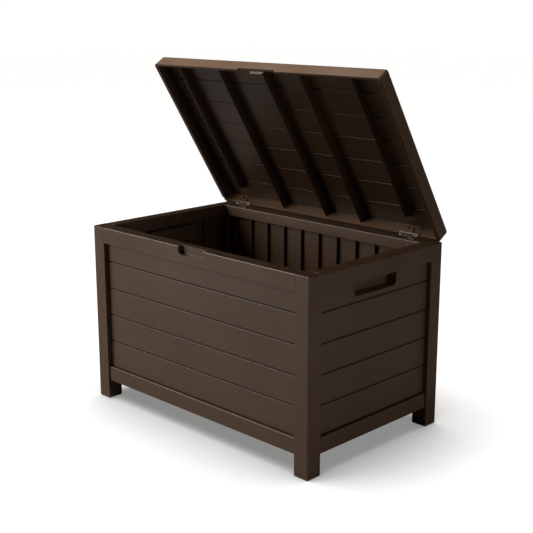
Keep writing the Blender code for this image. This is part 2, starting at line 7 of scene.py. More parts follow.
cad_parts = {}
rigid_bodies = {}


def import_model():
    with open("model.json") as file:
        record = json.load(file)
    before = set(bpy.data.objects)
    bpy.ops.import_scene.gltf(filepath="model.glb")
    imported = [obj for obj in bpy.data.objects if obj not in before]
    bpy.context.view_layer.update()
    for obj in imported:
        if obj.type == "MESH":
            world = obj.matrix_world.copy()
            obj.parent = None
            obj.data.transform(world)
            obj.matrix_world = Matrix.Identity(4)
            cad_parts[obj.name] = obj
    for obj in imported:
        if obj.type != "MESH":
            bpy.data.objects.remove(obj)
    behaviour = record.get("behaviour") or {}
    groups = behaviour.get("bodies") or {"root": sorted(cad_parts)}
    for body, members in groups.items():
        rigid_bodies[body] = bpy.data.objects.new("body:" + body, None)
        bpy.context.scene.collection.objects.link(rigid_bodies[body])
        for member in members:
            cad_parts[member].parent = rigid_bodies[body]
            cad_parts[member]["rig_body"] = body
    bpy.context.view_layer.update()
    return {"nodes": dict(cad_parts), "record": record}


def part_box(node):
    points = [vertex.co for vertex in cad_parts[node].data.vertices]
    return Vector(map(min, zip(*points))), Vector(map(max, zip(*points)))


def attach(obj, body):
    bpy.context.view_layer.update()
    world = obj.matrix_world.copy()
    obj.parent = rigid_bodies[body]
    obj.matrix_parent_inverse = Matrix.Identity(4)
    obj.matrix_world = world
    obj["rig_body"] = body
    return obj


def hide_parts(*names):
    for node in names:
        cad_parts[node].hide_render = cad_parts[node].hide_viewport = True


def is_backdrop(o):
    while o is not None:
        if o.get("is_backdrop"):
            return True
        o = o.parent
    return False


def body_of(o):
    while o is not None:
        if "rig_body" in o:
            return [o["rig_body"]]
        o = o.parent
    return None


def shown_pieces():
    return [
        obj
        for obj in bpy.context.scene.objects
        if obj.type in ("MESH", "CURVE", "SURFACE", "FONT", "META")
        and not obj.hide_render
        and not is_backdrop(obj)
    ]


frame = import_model()
record = frame["record"]
print("frame loaded:", len(frame["nodes"]), "nodes")

# Where things are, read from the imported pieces
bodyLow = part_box("corner_post_front_left")[0]
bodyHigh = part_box("corner_post_rear_right")[1]
halfX = (bodyHigh[0] - bodyLow[0]) / 2
halfY = (bodyHigh[1] - bodyLow[1]) / 2
middleY = (bodyHigh[1] + bodyLow[1]) / 2
bodyTop = bodyHigh[2]
sides = ("front", "rear", "left", "right")

lidHinge = record["behaviour"]["joints"][0]
hingePoint = Vector(lidHinge["pos_m"])
openAngle = -math.radians(lidHinge["range_deg"][0])
openLid = (Matrix.Translation(hingePoint)
           @ Matrix.Rotation(openAngle, 4, Vector(lidHinge["axis"]))
           @ Matrix.Translation(-hingePoint))
closeLid = openLid.inverted()
gap = 0.0003                                    # between pieces that touch


def toWorld(side, u, n, z):                     # u along a side, n inwards from its outer face
    if side == "front":
        return Vector((u, middleY - halfY + n, z))
    if side == "rear":
        return Vector((-u, middleY + halfY - n, z))
    if side == "right":
        return Vector((halfX - n, middleY + u, z))
    return Vector((-halfX + n, middleY - u, z))


def toSide(side, point):                        # the other way round: u, n and z of a point
    x, y, z = point
    if side == "front":
        return Vector((x, y - middleY + halfY, z))
    if side == "rear":
        return Vector((-x, middleY + halfY - y, z))
    if side == "right":
        return Vector((y - middleY, halfX - x, z))
    return Vector((middleY - y, x + halfX, z))


def sideRange(side, node):                      # a node's extent in u, n and z
    corners = [toSide(side, corner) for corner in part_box(node)]
    return [tuple(sorted(pair)) for pair in zip(*corners)]


def alongSide(side):
    return toWorld(side, 1, 0, 0) - toWorld(side, 0, 0, 0)


def closedBox(node):                            # a lid node's box once the lid is turned shut
    points = [closeLid @ v.co for v in frame["nodes"][node].data.vertices]
    return Vector(map(min, zip(*points))), Vector(map(max, zip(*points)))


boardFace = sideRange("front", "front_wall_panel")[1][0]
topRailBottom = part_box("front_top_rail")[0][2]
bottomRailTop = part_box("front_bottom_rail")[1][2]


def linkMesh(name, mesh):
    piece = bpy.data.objects.new(name, mesh)
    bpy.context.scene.collection.objects.link(piece)
    return piece


def fromBmesh(name, bm):
    bmesh.ops.recalc_face_normals(bm, faces=bm.faces)
    mesh = bpy.data.meshes.new(name)
    bm.to_mesh(mesh)
    bm.free()
    return linkMesh(name, mesh)


def settle(piece):                              # live modifiers become plain mesh
    graph = bpy.context.evaluated_depsgraph_get()
    mesh = bpy.data.meshes.new_from_object(piece.evaluated_get(graph))
    old = piece.data
    piece.modifiers.clear()
    piece.data = mesh
    mesh.name = piece.name
    bpy.data.meshes.remove(old)
    return piece


def discard(*pieces):
    for piece in pieces:
        mesh = piece.data
        bpy.data.objects.remove(piece)
        bpy.data.meshes.remove(mesh)


def softenEdges(piece, width, segments=3, angle=34):
    bevel = piece.modifiers.new("softEdges", "BEVEL")
    bevel.width = width
    bevel.segments = segments
    bevel.limit_method = "ANGLE"
    bevel.angle_limit = math.radians(angle)
    bevel.miter_outer = "MITER_ARC"
    piece.data.polygons.foreach_set("use_smooth", [True] * len(piece.data.polygons))
    flats = piece.modifiers.new("keepFlats", "WEIGHTED_NORMAL")
    flats.weight = 100
    return settle(piece)


def carve(piece, tool, operation="DIFFERENCE"):
    cut = piece.modifiers.new("carve", "BOOLEAN")
    cut.operation = operation
    cut.solver = "EXACT"
    cut.object = tool
    settle(piece)
    discard(tool)
    return piece


def roundCorners(corners, radii, steps=5):      # a flat outline with some corners turned to arcs
    outline = []
    for i, (corner, radius) in enumerate(zip(corners, radii)):
        here = Vector(corner)
        if radius == 0:
            outline.append(here)
            continue
        back = (Vector(corners[i - 1]) - here).normalized()
        on = (Vector(corners[(i + 1) % len(corners)]) - here).normalized()
        half = back.angle(on) / 2
        centre = here + (back + on).normalized() * radius / math.sin(half)
        first = here + back * radius / math.tan(half) - centre
        last = here + on * radius / math.tan(half) - centre
        sweep = first.angle(last)
        for k in range(steps + 1):
            t = k / steps
            spoke = first * math.sin((1 - t) * sweep) + last * math.sin(t * sweep)
            outline.append(centre + spoke / math.sin(sweep))
    return outline


def extrude(name, outline, toPoint, start, end):
    bm = bmesh.new()
    near, far = [[bm.verts.new(toPoint(p, at)) for p in outline] for at in (start, end)]
    for i in range(len(outline)):
        bm.faces.new((near[i - 1], near[i], far[i], far[i - 1]))
    bm.faces.new(near)
    bm.faces.new(far[::-1])
    return fromBmesh(name, bm)


def alongRail(side):                            # an outline in (n, z) run along u
    return lambda p, at: toWorld(side, at, p[0], p[1])


def throughWall(side):                          # an outline in (u, z) run inwards
    return lambda p, at: toWorld(side, p[0], at, p[1])


def block(name, low, high, rounded=None, radius=0.0, segments=1):
    bm = bmesh.new()
    middle, size = (Vector(low) + Vector(high)) / 2, Vector(high) - Vector(low)
    spot = Matrix.Translation(middle) @ Matrix.Diagonal((*size, 1))
    bmesh.ops.create_cube(bm, size=1, matrix=spot)
    if rounded:
        edges = [e for e in bm.edges if rounded(e)]
        bmesh.ops.bevel(bm, geom=edges, offset=radius, segments=segments, profile=0.5, affect="EDGES")
    return fromBmesh(name, bm)


def upright(edge):
    run = edge.verts[1].co - edge.verts[0].co
    return abs(run.z) > 0.99 * run.length


def sideBlock(name, side, u, n, z):
    a, b = toWorld(side, u[0], n[0], z[0]), toWorld(side, u[1], n[1], z[1])
    return block(name, Vector(map(min, a, b)), Vector(map(max, a, b)))


def turned(name, profile, steps=32):            # a profile of (radius, height) turned about Z
    bm = bmesh.new()
    rings = []
    for radius, height in profile:
        turns = [2 * math.pi * k / steps for k in range(steps)]
        rings.append([bm.verts.new((radius * math.cos(t), radius * math.sin(t), height)) for t in turns])
    for lower, upper in zip(rings, rings[1:]):
        for k in range(steps):
            bm.faces.new((lower[k - 1], lower[k], upper[k], upper[k - 1]))
    bm.faces.new(rings[0][::-1])
    bm.faces.new(rings[-1])
    return fromBmesh(name, bm)


def copyOfNode(node, name):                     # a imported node's triangles, merged to clean faces
    bm = bmesh.new()
    bm.from_mesh(frame["nodes"][node].data)
    bmesh.ops.remove_doubles(bm, verts=bm.verts, dist=1e-6)
    bmesh.ops.dissolve_limit(bm, angle_limit=math.radians(1), verts=bm.verts, edges=bm.edges)
    return fromBmesh(name, bm)


def mount(piece, body, material, slot, *nodes):
    piece.data.materials.clear()
    piece.data.materials.append(material)
    piece.data.polygons.foreach_set("material_index", [0] * len(piece.data.polygons))
    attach(piece, body)
    if nodes:
        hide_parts(*nodes)
    return piece


# Node trees for what repeats. Their inputs are named sizes, set on each use.
def newTree(name, inputs):
    tree = bpy.data.node_groups.new(name, "GeometryNodeTree")
    for label, kind in [("Geometry", "Geometry")] + inputs:
        tree.interface.new_socket(label, in_out="INPUT", socket_type="NodeSocket" + kind)
    tree.interface.new_socket("Geometry", in_out="OUTPUT", socket_type="NodeSocketGeometry")
    return tree, tree.nodes.new("NodeGroupInput"), tree.nodes.new("NodeGroupOutput")


def useTree(piece, tree, values):
    modifier = piece.modifiers.new(tree.name, "NODES")
    modifier.node_group = tree
    for item in tree.interface.items_tree:
        if item.in_out == "INPUT" and item.name in values:
            modifier[item.identifier] = values[item.name]
    return settle(piece)


def makeRepeatTree():                           # copies of a piece along a straight line
    tree, given, made = newTree("repeatAlongLine", [
        ("Piece", "Object"), ("Start", "Vector"), ("Step", "Vector"), ("Count", "Int"),
        ("Finish", "Material")])
    nodes, links = tree.nodes, tree.links
    line = nodes.new("GeometryNodeMeshLine")
    piece = nodes.new("GeometryNodeObjectInfo")
    place = nodes.new("GeometryNodeInstanceOnPoints")
    real = nodes.new("GeometryNodeRealizeInstances")
    both = nodes.new("GeometryNodeJoinGeometry")
    coat = nodes.new("GeometryNodeSetMaterial")
    links.new(given.outputs["Piece"], piece.inputs["Object"])
    links.new(given.outputs["Start"], line.inputs["Start Location"])
    links.new(given.outputs["Step"], line.inputs["Offset"])
    links.new(given.outputs["Count"], line.inputs["Count"])
    links.new(line.outputs["Mesh"], place.inputs["Points"])
    links.new(piece.outputs["Geometry"], place.inputs["Instance"])
    links.new(place.outputs["Instances"], both.inputs["Geometry"])
    links.new(given.outputs["Geometry"], both.inputs["Geometry"])
    links.new(both.outputs["Geometry"], real.inputs["Geometry"])
    links.new(real.outputs["Geometry"], coat.inputs["Geometry"])
    links.new(given.outputs["Finish"], coat.inputs["Material"])
    links.new(coat.outputs["Geometry"], made.inputs["Geometry"])
    return tree


def makePointsTree():                           # a piece on each point, its Z turned to headDirection
    tree, given, made = newTree("setOnPoints", [("Piece", "Object"), ("Finish", "Material")])
    nodes, links = tree.nodes, tree.links
    piece = nodes.new("GeometryNodeObjectInfo")
    heading = nodes.new("GeometryNodeInputNamedAttribute")
    heading.data_type = "FLOAT_VECTOR"
    heading.inputs["Name"].default_value = "headDirection"
    turn = nodes.new("FunctionNodeAlignRotationToVector")
    turn.axis = "Z"
    place = nodes.new("GeometryNodeInstanceOnPoints")
    real = nodes.new("GeometryNodeRealizeInstances")
    coat = nodes.new("GeometryNodeSetMaterial")
    links.new(given.outputs["Geometry"], place.inputs["Points"])
    links.new(given.outputs["Piece"], piece.inputs["Object"])
    links.new(piece.outputs["Geometry"], place.inputs["Instance"])
    links.new(heading.outputs["Attribute"], turn.inputs["Vector"])
    links.new(turn.outputs["Rotation"], place.inputs["Rotation"])
    links.new(place.outputs["Instances"], real.inputs["Geometry"])
    links.new(real.outputs["Geometry"], coat.inputs["Geometry"])
    links.new(given.outputs["Finish"], coat.inputs["Material"])
    links.new(coat.outputs["Geometry"], made.inputs["Geometry"])
    return tree


def makeBeadTree():                             # a round bead along the edges it is given
    tree, given, made = newTree("beadAlongPath", [("Radius", "Float"), ("Finish", "Material")])
    nodes, links = tree.nodes, tree.links
    path = nodes.new("GeometryNodeMeshToCurve")
    ring = nodes.new("GeometryNodeCurvePrimitiveCircle")
    ring.inputs["Resolution"].default_value = 16
    tube = nodes.new("GeometryNodeCurveToMesh")
    tube.inputs["Fill Caps"].default_value = True
    smooth = nodes.new("GeometryNodeSetShadeSmooth")
    real = nodes.new("GeometryNodeRealizeInstances")
    coat = nodes.new("GeometryNodeSetMaterial")
    links.new(given.outputs["Geometry"], path.inputs["Mesh"])
    links.new(given.outputs["Radius"], ring.inputs["Radius"])
    links.new(path.outputs["Curve"], tube.inputs["Curve"])
    links.new(ring.outputs["Curve"], tube.inputs["Profile Curve"])
    links.new(tube.outputs["Mesh"], smooth.inputs["Geometry"])
    links.new(smooth.outputs["Geometry"], real.inputs["Geometry"])
    links.new(real.outputs["Geometry"], coat.inputs["Geometry"])
    links.new(given.outputs["Finish"], coat.inputs["Material"])
    links.new(coat.outputs["Geometry"], made.inputs["Geometry"])
    return tree


repeatTree = makeRepeatTree()
pointsTree = makePointsTree()
beadTree = makeBeadTree()


def addRepeats(host, piece, start, step, count, finish):
    return useTree(host, repeatTree, {"Piece": piece, "Start": start, "Step": step, "Count": count,
                                      "Finish": finish})


# Finishes
resin = {"brown": (0.076, 0.039, 0.018), "frameRoughness": 0.36, "panelRoughness": 0.40,
         "lidRoughness": 0.38, "innerRoughness": 0.50, "jointRoughness": 0.8, "jointShade": 0.22,
         "toneSpread": 0.10}
steel = {"colour": (0.022, 0.020, 0.018), "roughness": 0.68}


def newMaterial(name):
    material = bpy.data.materials.new(name)
    material.use_nodes = True
    return material, material.node_tree.nodes, material.node_tree.links


def noise(nodes, links, place, scale, detail):
    made = nodes.new("ShaderNodeTexNoise")
    made.inputs["Scale"].default_value = scale
    made.inputs["Detail"].default_value = detail
    links.new(place, made.inputs["Vector"])
    return made.outputs["Fac"]


def bump(nodes, links, height, strength, distance, below=None):
    made = nodes.new("ShaderNodeBump")
    made.inputs["Strength"].default_value = strength
    made.inputs["Distance"].default_value = distance
    links.new(height, made.inputs["Height"])
    if below:
        links.new(below, made.inputs["Normal"])
    return made.outputs["Normal"]


def mouldedResin(name, roughness, grainAlong=(1.0, 1.0, 1.0), grain=0.35, shade=1.0):
    material, nodes, links = newMaterial(name)
    shader = nodes["Principled BSDF"]
    brown = [c * shade for c in resin["brown"]]
    place = nodes.new("ShaderNodeTexCoord").outputs["Object"]
    stretch = nodes.new("ShaderNodeMapping")
    stretch.inputs["Scale"].default_value = grainAlong
    links.new(place, stretch.inputs["Vector"])
    streaks = noise(nodes, links, stretch.outputs["Vector"], 170, 6)
    clouds = noise(nodes, links, place, 6, 3)
    pores = noise(nodes, links, place, 1500, 2)
    blend = nodes.new("ShaderNodeMath")
    blend.operation = "ADD"
    links.new(streaks, blend.inputs[0])
    links.new(clouds, blend.inputs[1])
    tone = nodes.new("ShaderNodeMix")
    tone.data_type = "RGBA"
    spread = resin["toneSpread"]
    tone.inputs["A"].default_value = (*[c * (1 - spread) for c in brown], 1)
    tone.inputs["B"].default_value = (*[c * (1 + spread) for c in brown], 1)
    share = nodes.new("ShaderNodeMapRange")
    share.inputs["From Min"].default_value = 0.6
    share.inputs["From Max"].default_value = 1.4
    links.new(blend.outputs[0], share.inputs["Value"])
    links.new(share.outputs["Result"], tone.inputs["Factor"])
    links.new(tone.outputs["Result"], shader.inputs["Base Color"])
    rough = nodes.new("ShaderNodeMapRange")
    rough.inputs["From Min"].default_value = 0.3
    rough.inputs["From Max"].default_value = 0.7
    rough.inputs["To Min"].default_value = roughness - 0.04
    rough.inputs["To Max"].default_value = roughness + 0.04
    links.new(clouds, rough.inputs["Value"])
    links.new(rough.outputs["Result"], shader.inputs["Roughness"])
    grainNormal = bump(nodes, links, streaks, grain, 0.0002)
    links.new(bump(nodes, links, pores, 0.2, 0.0001, grainNormal), shader.inputs["Normal"])
    return material


def platedSteel():
    material, nodes, links = newMaterial("platedSteel")
    shader = nodes["Principled BSDF"]
    place = nodes.new("ShaderNodeTexCoord").outputs["Object"]
    shader.inputs["Base Color"].default_value = (*steel["colour"], 1)
    shader.inputs["Metallic"].default_value = 1.0
    wear = noise(nodes, links, place, 900, 4)
    rough = nodes.new("ShaderNodeMapRange")
    rough.inputs["To Min"].default_value = steel["roughness"] - 0.08
    rough.inputs["To Max"].default_value = steel["roughness"] + 0.08
    links.new(wear, rough.inputs["Value"])
    links.new(rough.outputs["Result"], shader.inputs["Roughness"])
    links.new(bump(nodes, links, wear, 0.15, 0.00005), shader.inputs["Normal"])
    return material


frameResin = mouldedResin("frameResin", resin["frameRoughness"])
boardResin = {"x": mouldedResin("boardResinAlongX", resin["panelRoughness"], (0.06, 1.0, 1.0), 0.5),
              "y": mouldedResin("boardResinAlongY", resin["panelRoughness"], (1.0, 0.06, 1.0), 0.5)}
lidResin = mouldedResin("lidResin", resin["lidRoughness"], (0.06, 1.0, 1.0))
innerResin = mouldedResin("innerResin", resin["innerRoughness"])
fittingResin = mouldedResin("fittingResin", resin["frameRoughness"])
# painted shade: the resin darkened to stand in for the shadow in the joints between boards
jointResin = mouldedResin("jointResin", resin["jointRoughness"], shade=resin["jointShade"])
plated = platedSteel()
print("finishes made")

# Corner posts
post = {"softEdge": 0.0008}


def cornerPosts():
    for frontRear in ("front", "rear"):
        for leftRight in ("left", "right"):
            node = f"corner_post_{frontRear}_{leftRight}"
            piece = copyOfNode(node, f"fine_{node}")
            softenEdges(piece, post["softEdge"])
            mount(piece, "box", frameResin, "frame_resin", node)


# Top rails: channels open below, with the finger notch in the front one
topRail = {"skin": 0.003, "outerRound": 0.0020, "innerRound": 0.0016, "softEdge": 0.0003,
           "innerLegBottom": 0.358, "notchLength": 0.072, "notchHeight": 0.017, "notchDepth": 0.011,
           "notchRound": 0.009, "cupWall": 0.0025}


def railOutline(n, z):
    outer, inner = n
    bottom, top = z
    skin, leg = topRail["skin"], boardFace - gap
    corners = [(outer, bottom), (outer, top), (inner, top), (inner, topRail["innerLegBottom"]),
               (inner - skin, topRail["innerLegBottom"]), (inner - skin, top - skin),
               (leg, top - skin), (leg, bottom)]
    small = 0.0006
    radii = [small, topRail["outerRound"], topRail["innerRound"], small, small, small, small, small]
    return roundCorners(corners, radii)


def notchShape(name, grow, n, top):
    half = topRail["notchLength"] / 2 + grow
    bottom = bodyTop - topRail["notchHeight"] - grow
    turn = topRail["notchRound"] + grow
    outline = roundCorners([(-half, top), (-half, bottom), (half, bottom), (half, top)],
                           [0, turn, turn, 0], steps=8)
    return extrude(name, outline, throughWall("front"), *n)


def topRails():
    whole = [(side, f"{side}_top_rail") for side in sides]
    ends = [("rear", f"rear_rail_end_{leftRight}") for leftRight in ("left", "right")]
    for side, node in whole + ends:
        u, n, z = sideRange(side, node)
        piece = extrude(f"fine_{node}", railOutline(n, z), alongRail(side), *u)
        if side == "front":
            wall, depth = topRail["cupWall"], topRail["notchDepth"]
            carve(piece, notchShape("cup", wall, (boardFace - 0.001, depth + wall), bodyTop - 0.001),
                  "UNION")
            carve(piece, notchShape("notch", 0.0, (-0.01, depth), bodyTop + 0.01))
        softenEdges(piece, topRail["softEdge"])
        mount(piece, "box", frameResin, "frame_resin", node)


# Wall panels: rounded boards on a sheet, ribs behind, and the hand slots in the side ones
wall = {"boardHeight": 0.0583, "wholeBoards": 4, "boardGap": 0.0026, "boardRound": 0.0009,
        "boardBack": 0.0131, "sheetFront": 0.0129, "softEdge": 0.0004,
        "ribThickness": 0.0025, "ribBack": 0.021, "ribPitch": 0.052, "webTop": 0.045,
        "slotLength": 0.123, "slotBottom": 0.319, "slotRound": 0.009, "slotBack": 0.031,
        "cupWall": 0.0025, "lipRadius": 0.0015, "shadowPlateFront": 0.0003, "shadowPlateBack": 0.0002,
        "shadowPlateInset": 0.001, "shadowPlateRise": 0.003}


def boardOutline(low, high):
    front, back, turn = boardFace, wall["boardBack"], wall["boardRound"]
    inset = wall["boardGap"] / 2
    corners = [(front, low + inset), (front, high - inset), (back, high - inset), (back, low + inset)]
    return roundCorners(corners, [turn, turn, 0, 0])


def slotShape(name, side, grow, n, top):
    half, bottom = wall["slotLength"] / 2 + grow, wall["slotBottom"] - grow
    turn = wall["slotRound"] + grow
    outline = roundCorners([(-half, top), (-half, bottom), (half, bottom), (half, top)],
                           [0, turn, turn, 0], steps=8)
    return extrude(name, outline, throughWall(side), *n)


def slotLip(side, finish):                      # the bead round the slot's two ends and its bottom
    half = wall["slotLength"] / 2 + wall["lipRadius"]
    bottom, top = wall["slotBottom"] - wall["lipRadius"], topRailBottom - gap
    turn = wall["slotRound"] + wall["lipRadius"]
    outline = roundCorners([(-half, top), (-half, bottom), (half, bottom), (half, top)],
                           [0, turn, turn, 0], steps=10)
    bm = bmesh.new()
    verts = [bm.verts.new(toWorld(side, u, boardFace, z)) for u, z in outline]
    for a, b in zip(verts, verts[1:]):
        bm.edges.new((a, b))
    lip = fromBmesh(f"hand_slot_lip_{side}", bm)
    useTree(lip, beadTree, {"Radius": wall["lipRadius"], "Finish": finish})
    mount(lip, "box", finish, "panel_resin")


def paintJointShadow(side, u, z):                    # a thin sheet darker than the resin, painted shade that darkens the joints between boards
    n = (wall["sheetFront"] - wall["shadowPlateFront"], wall["sheetFront"] + wall["shadowPlateBack"])
    shadowPlate = sideBlock(f"{side}_wall_backing", side, u, n, z)
    mount(shadowPlate, "box", jointResin, "panel_resin")


def wallRib(side, top):
    half = wall["ribThickness"] / 2
    rib = sideBlock("rib", side, (-half, half), (wall["boardBack"], wall["ribBack"]),
                    (wall["webTop"] + 0.001, top))
    return softenEdges(rib, wall["softEdge"], 2)


def wallPanel(side):
    node = f"{side}_wall_panel"
    finish = boardResin["x" if side in ("front", "rear") else "y"]
    u, _, z = sideRange(side, node)
    back = boardFace + 0.0035
    upTop = bottomRailTop + wall["wholeBoards"] * wall["boardHeight"]
    panel = sideBlock(f"fine_{node}", side, u, (wall["sheetFront"], back), z)
    topBoard = extrude("topBoard", boardOutline(upTop, z[1] + wall["boardGap"] / 2 + 0.002),
                       alongRail(side), *u)
    carve(panel, topBoard, "UNION")
    along = alongSide(side)
    pocket = side in ("left", "right")
    if pocket:
        grow = wall["cupWall"]
        carve(panel, slotShape("cup", side, grow, (wall["sheetFront"] + 0.0005, wall["slotBack"] + grow),
                               topRailBottom + grow), "UNION")
        carve(panel, slotShape("slot", side, 0.0, (0.0, wall["slotBack"]), topRailBottom - 2 * gap))
    softenEdges(panel, wall["softEdge"])

    board = extrude("board", boardOutline(bottomRailTop, bottomRailTop + wall["boardHeight"]),
                    alongRail(side), *u)
    softenEdges(board, wall["softEdge"], 2)
    addRepeats(panel, board, (0, 0, 0), (0, 0, wall["boardHeight"]), wall["wholeBoards"], finish)
    lowStrip = extrude("lowStrip", boardOutline(z[0], bottomRailTop), alongRail(side), *u)
    softenEdges(lowStrip, wall["softEdge"], 2)
    addRepeats(panel, lowStrip, (0, 0, 0), (0, 0, 1), 1, finish)

    pitch = wall["ribPitch"]
    room = (halfX if not pocket else halfY) - 0.034 - wall["ribThickness"]
    count = int(room // pitch)
    tall = wallRib(side, z[1] - 0.001)
    behind = int((wall["slotLength"] / 2 + wall["cupWall"]) // pitch) if pocket else -1
    if pocket:
        low = wallRib(side, wall["slotBottom"] - wall["cupWall"] - 0.0005)
        addRepeats(panel, low, -behind * pitch * along, pitch * along, 2 * behind + 1, finish)
        outside = count - behind
        addRepeats(panel, tall, -count * pitch * along, pitch * along, outside, finish)
        addRepeats(panel, tall, (behind + 1) * pitch * along, pitch * along, outside, finish)
        discard(low)
        slotLip(side, finish)
    else:
        addRepeats(panel, tall, -count * pitch * along, pitch * along, 2 * count + 1, finish)
    discard(board, lowStrip, tall)
    # a dark sheet just in front of the panel's sheet: painted shade in the joints between boards
    inset = wall["shadowPlateInset"]
    paintJointShadow(side, (u[0] + inset, u[1] - inset), (z[0] + inset, upTop + wall["shadowPlateRise"]))
    mount(panel, "box", finish, "panel_resin", node)


# Bottom rails: troughs that hold the panels, with a ledge for the floor
bottomRail = {"web": 0.004, "lip": 0.0062, "ledgeWidth": 0.006, "ledgeTop": 0.054, "outerRound": 0.0016,
              "softEdge": 0.0006}


def bottomRails():
    for side in sides:
        node = f"{side}_bottom_rail"
        u, n, z = sideRange(side, node)
        webTop = z[0] + bottomRail["web"]
        ledge = n[1] - bottomRail["ledgeWidth"]
        corners = [(n[0], z[0]), (n[1], z[0]), (n[1], bottomRail["ledgeTop"]),
                   (ledge, bottomRail["ledgeTop"]), (ledge, webTop), (n[0] + bottomRail["lip"], webTop),
                   (n[0] + bottomRail["lip"], z[1]), (n[0], z[1])]
        turn, small = bottomRail["outerRound"], 0.0006
        outline = roundCorners(corners, [turn, small, small, small, 0, 0, small, turn])
        piece = extrude(f"fine_{node}", outline, alongRail(side), *u)
        softenEdges(piece, bottomRail["softEdge"])
        mount(piece, "box", frameResin, "frame_resin", node)


# Floor: a notched sheet, ribbed below
floorPanel = {"thickness": 0.004, "notch": 0.0343, "rib": 0.0025, "ribBottom": 0.042,
              "longRibs": (3, 0.10), "crossRibs": (4, 0.12), "softEdge": 0.0006}


def floorSheet():
    low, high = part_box("floor_panel")
    bottom = high[2] - floorPanel["thickness"]
    x, y = high[0], high[1] - middleY
    nx, ny = halfX - floorPanel["notch"], halfY - floorPanel["notch"]
    outline = [(x, -ny), (x, ny), (nx, ny), (nx, y), (-nx, y), (-nx, ny), (-x, ny), (-x, -ny),
               (-nx, -ny), (-nx, -y), (nx, -y), (nx, -ny)]
    sheet = extrude("fine_floor_panel", outline, lambda p, at: (p[0], middleY + p[1], at),
                    bottom, high[2])
    softenEdges(sheet, floorPanel["softEdge"])
    half = floorPanel["rib"] / 2
    count, pitch = floorPanel["longRibs"]
    reach = halfX - floorPanel["notch"] - 0.001
    rib = softenEdges(block("rib", (-reach, middleY - half, floorPanel["ribBottom"]),
                            (reach, middleY + half, bottom + 0.001)), 0.0004, 2)
    addRepeats(sheet, rib, (0, -pitch * (count - 1) / 2, 0), (0, pitch, 0), count, innerResin)
    discard(rib)
    count, pitch = floorPanel["crossRibs"]
    reach = halfY - floorPanel["notch"] - 0.001
    rib = softenEdges(block("rib", (-half, middleY - reach, floorPanel["ribBottom"] + 0.001),
                            (half, middleY + reach, bottom + 0.001)), 0.0004, 2)
    addRepeats(sheet, rib, (-pitch * (count - 1) / 2, 0, 0), (pitch, 0, 0), count, innerResin)
    discard(rib)
    mount(sheet, "box", innerResin, "inner_resin", "floor_panel")


# Lid, made shut and then turned open about the hinge
lid = {"edgeRound": 0.007, "skin": 0.003, "sideWall": 0.008, "frontWall": 0.005, "cavityRound": 0.006,
       "boards": 7, "lineWidth": 0.003, "lineDepth": 0.0008, "lineEnd": 0.012, "innerLineDepth": 0.0019,
       "ridgeRadius": 0.0008, "ridgeSides": 12, "lineInset": 0.004,
       "rearRimReach": 0.014, "rearRimTop": 0.0025, "notchLength": 0.100, "notchHeight": 0.0045,
       "rimLineInset": 0.0018, "rimLineWidth": 0.0014, "rimLineDepth": 0.0018,
       "ribThickness": 0.0025, "ribBottom": 0.0095, "ribX": (-0.244, -0.122, 0.004, 0.102, 0.232),
       "outerRibBack": 0.164, "outerRibSlope": 0.014, "softEdge": 0.0006}


def lidRib(start, back, slope, low, top):
    corners = [(start, top), (start, low), (back - slope, low), (back, top)]
    outline = roundCorners(corners, [0, 0, 0.002, 0])
    half = lid["ribThickness"] / 2
    rib = extrude("lidRib", outline, lambda p, at: (at, middleY + p[0], p[1]), -half, half)
    return softenEdges(rib, 0.0011, 3)


